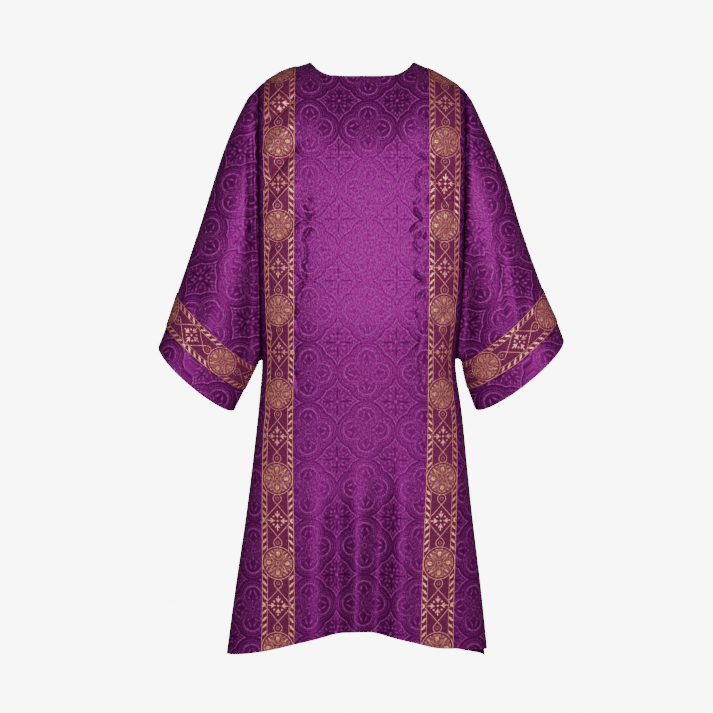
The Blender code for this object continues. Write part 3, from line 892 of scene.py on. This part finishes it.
def band_material():
    """Metal thread on a plum ground, in fine slanting ribs. The gold's brightness follows the thread grain:
    partly grain, partly painted glints and shade.
    """
    material, tree, shader, place = cloth_material("band")
    figure = add_group(tree, band_figure(), {"Band": place})
    gold, leaves, filling = (figure.outputs[name] for name in ("Gold", "Leaves", "Filling"))
    weave = add_group(tree, weave_relief(), {"Cloth": place, "Threads": 420.0})
    grain = weave.outputs["Height"]
    ground = mixed(tree, grain, (0.086, 0.0056, 0.041), (0.178, 0.0165, 0.090))
    inside = mixed(tree, grain, (0.140, 0.0250, 0.052), (0.340, 0.0950, 0.118))
    colour = mixed(tree, filling, ground, inside)
    colour = mixed(tree, leaves, colour, mixed(tree, grain, (0.66, 0.21, 0.115), (1.00, 0.44, 0.24)))
    # The gold runs from darker to brighter with the thread grain: partly the thread's own grain, partly
    # painted glints and shade along the gold.
    colour = mixed(tree, gold, colour, mixed(tree, grain, (0.90, 0.240, 0.185), (1.00, 0.43, 0.35)))
    raised = (Strand(tree, gold) | Strand(tree, leaves)).socket
    values = {
        "Base Color": colour,
        "Roughness": from_to(tree, raised, 0.60, 0.38),
        "Metallic": from_to(tree, raised, 0.0, 0.55),
        "Specular IOR Level": from_to(tree, raised, 0.15, 0.90),
        "Specular Tint": (1.0, 0.55, 0.45, 1),
    }
    fill(tree, shader, values)
    bump(tree, shader, ((raised, 1.0), (grain, 0.5)), 0.0008)
    return material


ROUNDEL_Z = -0.4966

band = band_material()
centre = sum(PANEL_ZONES)
first, last = sum(PANEL_ZONES[:2]), sum(PANEL_ZONES[:3])
for name, (grid, cloth, normals) in panels.items():
    side = -1 if name == "front" else 1
    for hand, sign in (("left", -side), ("right", side)):
        ends = sorted((centre + sign * first, centre + sign * last))
        across = slice(ends[0], ends[1] + 1)
        under = grid[:, across] + normals[:, across] * SEAM_GAP
        over = under + normals[:, across] * BAND_WALL
        place = cloth[:, across].copy()
        place[..., 0] = np.abs(place[..., 0]) - BAND_INNER - BAND_WIDTH / 2
        place[..., 1] -= ROUNDEL_Z
        piece = sewn_cloth(f"{name}_band_{hand}_woven", over, under, place, False, (band,))
        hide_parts(f"{name}_band_{hand}")

# ---- Sleeves ----
# Wide sleeves, each cut in one piece folded over the arm and sewn to the sides of the front and back down
# to the underarm. They hang from the arms in soft folds and end in a wide cuff.

SLEEVE_POINTS = 220
SLEEVE_ROWS = 120
SLEEVE_FOLDS_FROM = 1.5
MIDDLE_REACH = 0.25
ARM_BIAS = 0.78
RING_SQUARENESS = 0.80

# Rings of a sleeve after the armhole: its chord from the outer to the inner edge, how far its front and
# back stand off it, how far the front hangs below it, its y, and its steps in the solids.
Ring = namedtuple("Ring", "name top_x top_z bottom_x bottom_z front back sag middle")
SLEEVE_RINGS = {
    "right": (
        Ring("roll", 0.213, -0.0565, 0.2015, -0.596, 0.087, 0.07, 0.0, 0.0),
        Ring("shoulder", 0.233, -0.082, 0.206, -0.598, 0.092, 0.08, 0.0, 0.0),
        Ring("upper_arm", 0.2735, -0.174, 0.207, -0.6, 0.09, 0.08, 0.004, 0.0),
        Ring("elbow", 0.3235, -0.334, 0.206, -0.601, 0.084, 0.072, 0.008, -0.002),
        Ring("band_top", 0.3655, -0.459, 0.2085, -0.606, 0.077, 0.062, 0.012, -0.004),
        Ring("band_end", 0.386, -0.522, 0.231, -0.652, 0.074, 0.056, 0.014, -0.006),
        Ring("hem", 0.4015, -0.564, 0.2515, -0.694, 0.072, 0.052, 0.018, -0.008),
    ),
    "left": (
        Ring("roll", 0.211, -0.066, 0.2015, -0.592, 0.087, 0.07, 0.0, 0.0),
        Ring("shoulder", 0.226, -0.092, 0.206, -0.594, 0.092, 0.08, 0.0, 0.0),
        Ring("upper_arm", 0.279, -0.214, 0.208, -0.596, 0.09, 0.08, 0.004, 0.0),
        Ring("elbow", 0.3175, -0.334, 0.209, -0.597, 0.084, 0.072, 0.008, -0.002),
        Ring("band_top", 0.361, -0.452, 0.2105, -0.598, 0.077, 0.062, 0.012, -0.004),
        Ring("band_end", 0.388, -0.512, 0.219, -0.65, 0.074, 0.056, 0.018, -0.006),
        Ring("hem", 0.4025, -0.55, 0.231, -0.692, 0.072, 0.052, 0.022, -0.008),
    ),
}
BAND_TOP_RING, BAND_END_RING = 5, 6
SLEEVE_FRONT_FOLDS = (
    Fold(0.246, -0.08, 0.29, -0.7, 0.05, -0.007),
    Fold(0.312, -0.34, 0.336, -0.62, 0.012, 0.004),
)
SLEEVE_BACK_FOLDS = (
    Fold(0.24, -0.12, 0.262, -0.58, 0.016, 0.012),
    Fold(0.29, -0.22, 0.318, -0.62, 0.014, 0.009),
)

# Smaller creases, which differ from sleeve to sleeve.
SLEEVE_CREASES = {
    "right": (
        Fold(0.2195, -0.06, 0.215, -0.46, 0.0065, 0.013),
        Fold(0.21, -0.34, 0.224, -0.8, 0.015, 0.037),
    ),
    "left": (
        Fold(0.266, -0.3, 0.302, -0.6, 0.011, 0.003),
        Fold(0.207, -0.36, 0.218, -0.8, 0.015, 0.037),
    ),
}


def armhole_ring(angle, sign):
    """The first ring of a sleeve, along the side edges of both panels down to the underarm."""
    top_z = top_edge(sign * level("half_width", SHOULDER_Z), -1)[1]
    z = top_z + (UNDERARM_Z - top_z) * (1 - np.cos(angle)) / 2
    edge = np.where(angle <= np.pi, level("front_edge", z), level("back_edge", z))
    closing = ease(np.abs(angle - np.pi) / UNDERARM_CLOSING)
    y = edge * shoulder_turn(top_z - z) * closing
    return np.stack([level("half_width", z) + SEAM_GAP, y, z], axis=1)


def sleeve_ring(ring, angle):
    """A ring of a left sleeve, from its outer edge down the front and up the back."""
    chord = np.array([ring.bottom_x - ring.top_x, ring.bottom_z - ring.top_z])
    down = (1 - np.cos(angle)) / 2
    hang = ring.sag * np.sin(angle) / np.linalg.norm(chord)
    share = np.where(angle <= np.pi, angle, 2 * np.pi - angle) / np.pi
    off_chord = np.sin(np.pi * np.clip(share, 0, 1) ** ARM_BIAS).clip(0) ** RING_SQUARENESS
    x = ring.top_x + chord[0] * down - chord[1] * hang
    y = np.where(angle <= np.pi, -ring.front, ring.back) * off_chord
    y += ring.middle * ease(down / MIDDLE_REACH)
    z = ring.top_z + chord[1] * down + chord[0] * hang
    return np.stack([x, y, z], axis=1)


def sleeve_grid(rings, sign, creases):
    """Outer points of a sleeve as if at +X, by row from the armhole and round, without and with its folds,
    and each row's ring number."""
    angle = 2 * np.pi * ((SLEEVE_POINTS - np.arange(SLEEVE_POINTS)) % SLEEVE_POINTS) / SLEEVE_POINTS
    shapes = np.stack([armhole_ring(angle, sign)] + [sleeve_ring(ring, angle) for ring in rings])
    steps = np.linalg.norm(np.diff(shapes[:, 0], axis=0), axis=1)
    counts = np.maximum(1, np.round(SLEEVE_ROWS * steps / steps.sum()).astype(int))
    at = [0.0]
    for number, count in enumerate(counts):
        at += [number + (step + 1) / count for step in range(count)]
    at = np.array(at)
    plain = smooth_curve(np.arange(len(shapes), dtype=float), shapes, at)
    grid = plain.copy()
    room = np.sin(angle) ** 2 * ease(at / SLEEVE_FOLDS_FROM)[:, None]
    for folds, facing in ((SLEEVE_FRONT_FOLDS + creases, -1), (SLEEVE_BACK_FOLDS, 1)):
        half = facing * np.sin(angle) < 0
        grid[..., 1] -= facing * half * room * fold_depth(folds, grid[..., 0], grid[..., 2])
    return plain, grid, at


def mirrored(grid):
    """A left sleeve's grid as the right one's, its points turned round to keep it facing out."""
    return np.roll(grid[:, ::-1], 1, axis=1) * (-1, 1, 1)


def round_sleeve(grid):
    """How far each point lies from the outer edge, round the ring, with the first point again at the end."""
    closed = np.concatenate([grid, grid[:, :1]], axis=1)
    steps = np.linalg.norm(np.diff(closed, axis=1), axis=2)
    return so_far(steps, 1)


def sleeve_map(plain):
    """Each point's place on the flat sleeve, whose threads follow its hem, with the first point again."""
    closed = np.concatenate([plain, plain[:, :1]], axis=1)
    half = SLEEVE_POINTS // 2
    chord = unit((plain[:, half] - plain[:, 0])[:, (0, 2)])
    seen = closed[..., (0, 2)]
    length = round_sleeve(plain)
    from_edge = np.minimum(length, length[:, -1:] - length)
    quarter = SLEEVE_POINTS // 4
    turned = np.minimum(from_edge - from_edge[:, quarter, None], 0)
    shown = np.minimum(((seen - seen[:, quarter, None]) * chord[:, None]).sum(axis=2), 0)
    flat = seen + (turned - shown)[..., None] * chord[:, None]
    hem = chord[-1]
    place = np.stack([flat @ hem, flat @ np.array([-hem[1], hem[0]])], axis=2)
    return place + DAMASK_START


sleeves = {}
for hand, rings in SLEEVE_RINGS.items():
    plain, grid, at = sleeve_grid(rings, 1 if hand == "left" else -1, SLEEVE_CREASES[hand])
    cloth = sleeve_map(plain)
    if hand == "right":
        grid, cloth = mirrored(grid), cloth[:, ::-1]
    normals = grid_normals(grid, ring=True)
    sleeves[hand] = (grid, normals, at)
    sleeve = sewn_cloth(
        f"sleeve_{hand}_cloth",
        grid,
        grid - normals * CLOTH_WALL,
        cloth,
        True,
        (damask, lining),
    )
    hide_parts(f"sleeve_{hand}")

# ---- Sleeve bands ----
# The same woven galloon, stitched flat round each sleeve about three fingers' breadth above its hem.
# Each length closes on itself under the arm.

ROUNDEL_AT = {"right": (-0.276, -0.602), "left": (0.246, -0.598)}
for hand, (grid, normals, at) in sleeves.items():
    rows = (at >= BAND_TOP_RING - 1e-9) & (at <= BAND_END_RING + 1e-9)
    under = grid[rows] + normals[rows] * SEAM_GAP
    over = under + normals[rows] * BAND_WALL
    along = round_sleeve(over)
    downward = so_far(np.linalg.norm(np.diff(over, axis=0), axis=2), 0)
    downward = np.concatenate([downward, downward[:, :1]], axis=1)
    across = (downward / downward[-1:] - 0.5) * BAND_WIDTH
    middle = over[len(over) // 2]
    x, z = ROUNDEL_AT[hand]
    nearest = np.argmin(np.hypot(middle[:, 0] - x, middle[:, 2] - z) + (middle[:, 1] > 0))
    round_ring = unit(middle[nearest + 1] - middle[nearest - 1])
    square = (over[:, nearest] - middle[nearest]) @ round_ring
    place = np.stack([across, along - along[:, nearest, None] + square[:, None]], axis=2)
    piece = sewn_cloth(f"sleeve_band_{hand}_woven", over, under, place, True, (band,))
    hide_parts(f"sleeve_band_{hand}")

# ---- Neck edge ----
# A narrow roll of the damask, cut on the bias and sewn round the neck opening. It covers the raw edges
# of the front and the back.

PIPING_RADIUS = 0.0021


def neck_line():
    """The middle of the roll round the neck opening, just clear of the panels' top edges."""
    path = []
    normals = []
    for name in ("front", "back"):
        grid, _, grid_normal = panels[name]
        reach = PANEL_ZONES[0]
        path.append(grid[0, centre - reach : centre + reach])
        normals.append(grid_normal[0, centre - reach : centre + reach])
    path, normals = np.concatenate(path), unit(np.concatenate(normals))
    along = unit(np.roll(path, -1, axis=0) - np.roll(path, 1, axis=0))
    normals = unit(normals - along * (normals * along).sum(axis=1, keepdims=True))
    away = np.cross(normals, along)
    return leaning(path - normals * CLOTH_WALL / 2 + away * (SEAM_GAP + PIPING_RADIUS))


def painted_shade_piping_material():
    """Bias-cut roll of the damask, coloured darker than the damask: painted shade for the roll's place in the
    neck opening's shadow.
    """
    material, tree, shader = new_material("piping")
    place = tree.nodes.new("ShaderNodeTexCoord").outputs["Object"]
    weave = add_group(tree, weave_relief(), {"Cloth": place, "Threads": 1500.0})
    # The roll's colour is darker than the damask's: painted shade.
    colour = mixed(tree, weave.outputs["Slub"], (0.060, 0.0015, 0.048), (0.130, 0.0050, 0.104))
    fill(tree, shader, {"Base Color": colour, "Roughness": 0.5})
    bump(tree, shader, ((weave.outputs["Height"], 0.4),), 0.0003)
    return material


line = neck_line()
bpy.ops.object.select_all(action="DESELECT")
bpy.ops.mesh.primitive_circle_add(vertices=len(line), radius=NECK_HALF, location=(0, 0, 0))
for vertex, place in zip(bpy.context.object.data.vertices, line):
    vertex.co = place
bpy.ops.object.convert(target="CURVE")
bpy.context.object.data.bevel_depth = PIPING_RADIUS
bpy.context.object.data.bevel_resolution = 4
bpy.ops.object.convert(target="MESH")
bpy.ops.object.shade_smooth()
edge = bpy.context.object
edge.name = "neck_edge"
edge.data.materials.append(painted_shade_piping_material())
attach(edge, "root")
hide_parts("neck_piping")

# ---- Floor, light and camera ----
# A round studio floor of pale lit paper that sweeps up all round, a large soft light behind a grid in front,
# a low one to lift the hem, and one more for the back.

FLOOR_Z = -1.46
FLOOR_RADIUS = 6.4
WALL_HEIGHT = 9.0
SWEEP_RADIUS = 1.2
PAPER_GLOW = 8.0
WORLD_LIGHT = 0.14
CAMERA_DISTANCE = 4.5
PICTURE_WIDTH = 713 * 0.002  # metres across the picture, at the middle of the garment
SENSOR = 36


def select_level(piece, facing):
    """Selects the level faces that face up (1) or down (-1) of a mesh in edit mode."""
    bpy.ops.mesh.select_all(action="DESELECT")
    shape = bmesh.from_edit_mesh(piece.data)
    for face in shape.faces:
        face.select = face.normal.z * facing > 0.9
    bmesh.update_edit_mesh(piece.data)


bpy.ops.object.select_all(action="DESELECT")
bpy.ops.mesh.primitive_cylinder_add(
    vertices=96, radius=FLOOR_RADIUS, depth=WALL_HEIGHT, location=(0, 0, FLOOR_Z + WALL_HEIGHT / 2)
)
bpy.ops.object.transform_apply(location=True)
floor = bpy.context.object
floor.name = "floor"
bpy.ops.object.mode_set(mode="EDIT")
bpy.ops.mesh.select_mode(type="FACE")
select_level(floor, 1)
bpy.ops.mesh.delete(type="FACE")
select_level(floor, -1)
bpy.ops.mesh.bevel(offset=SWEEP_RADIUS, segments=16, affect="EDGES")
bpy.ops.mesh.select_all(action="SELECT")
bpy.ops.mesh.flip_normals()
bpy.ops.object.mode_set(mode="OBJECT")
bpy.ops.object.shade_smooth()
paper, paper_tree, paper_shader = new_material("paper")
paper_looks = {
    "Base Color": (0.85, 0.85, 0.85, 1),
    "Roughness": 0.9,
    "Emission Color": (1, 1, 1, 1),
    "Emission Strength": PAPER_GLOW,
}
fill(paper_tree, paper_shader, paper_looks)
paper.cycles.emission_sampling = "NONE"
floor.data.materials.append(paper)
# The paper throws no light back, so that the cloth's edges stay dark.
floor.visible_diffuse = False
floor.visible_glossy = False
floor.visible_shadow = False


def soft_light(name, place, aim, size, power, spread=180):
    """An area light at place that faces aim, behind a grid that holds it to a spread in degrees."""
    data = bpy.data.lights.new(name, "AREA")
    data.shape = "RECTANGLE"
    data.size, data.size_y = size
    data.energy = power
    data.spread = np.radians(spread)
    light = bpy.data.objects.new(name, data)
    light.location = place
    light.visible_camera = False
    light.rotation_euler = (Vector(aim) - Vector(place)).to_track_quat("-Z", "Y").to_euler()
    bpy.context.scene.collection.objects.link(light)


soft_light("key", (0.16, -2.2, -0.12), (0.0, 0.0, -0.40), (1.3, 0.70), 15.5, 100)
soft_light("low", (0.10, -2.4, -1.25), (0.0, 0.0, -1.05), (1.8, 0.40), 12)
soft_light("back", (-0.20, 2.2, -0.25), (0.0, 0.0, -0.45), (1.3, 0.75), 16.5, 100)
world = bpy.data.worlds.new("studio")
world.use_nodes = True
sky = world.node_tree.nodes["Background"]
fill(world.node_tree, sky, {"Color": (1, 1, 1, 1), "Strength": WORLD_LIGHT})
bpy.context.scene.world = world

camera_data = bpy.data.cameras.new("camera")
camera_data.sensor_width = SENSOR
camera_data.lens = SENSOR * CAMERA_DISTANCE / PICTURE_WIDTH
camera = bpy.data.objects.new("camera", camera_data)
camera.location = (-0.011, -CAMERA_DISTANCE, -0.587)
camera.rotation_euler = (np.pi / 2, 0, 0)
bpy.context.scene.collection.objects.link(camera)
bpy.context.scene.camera = camera
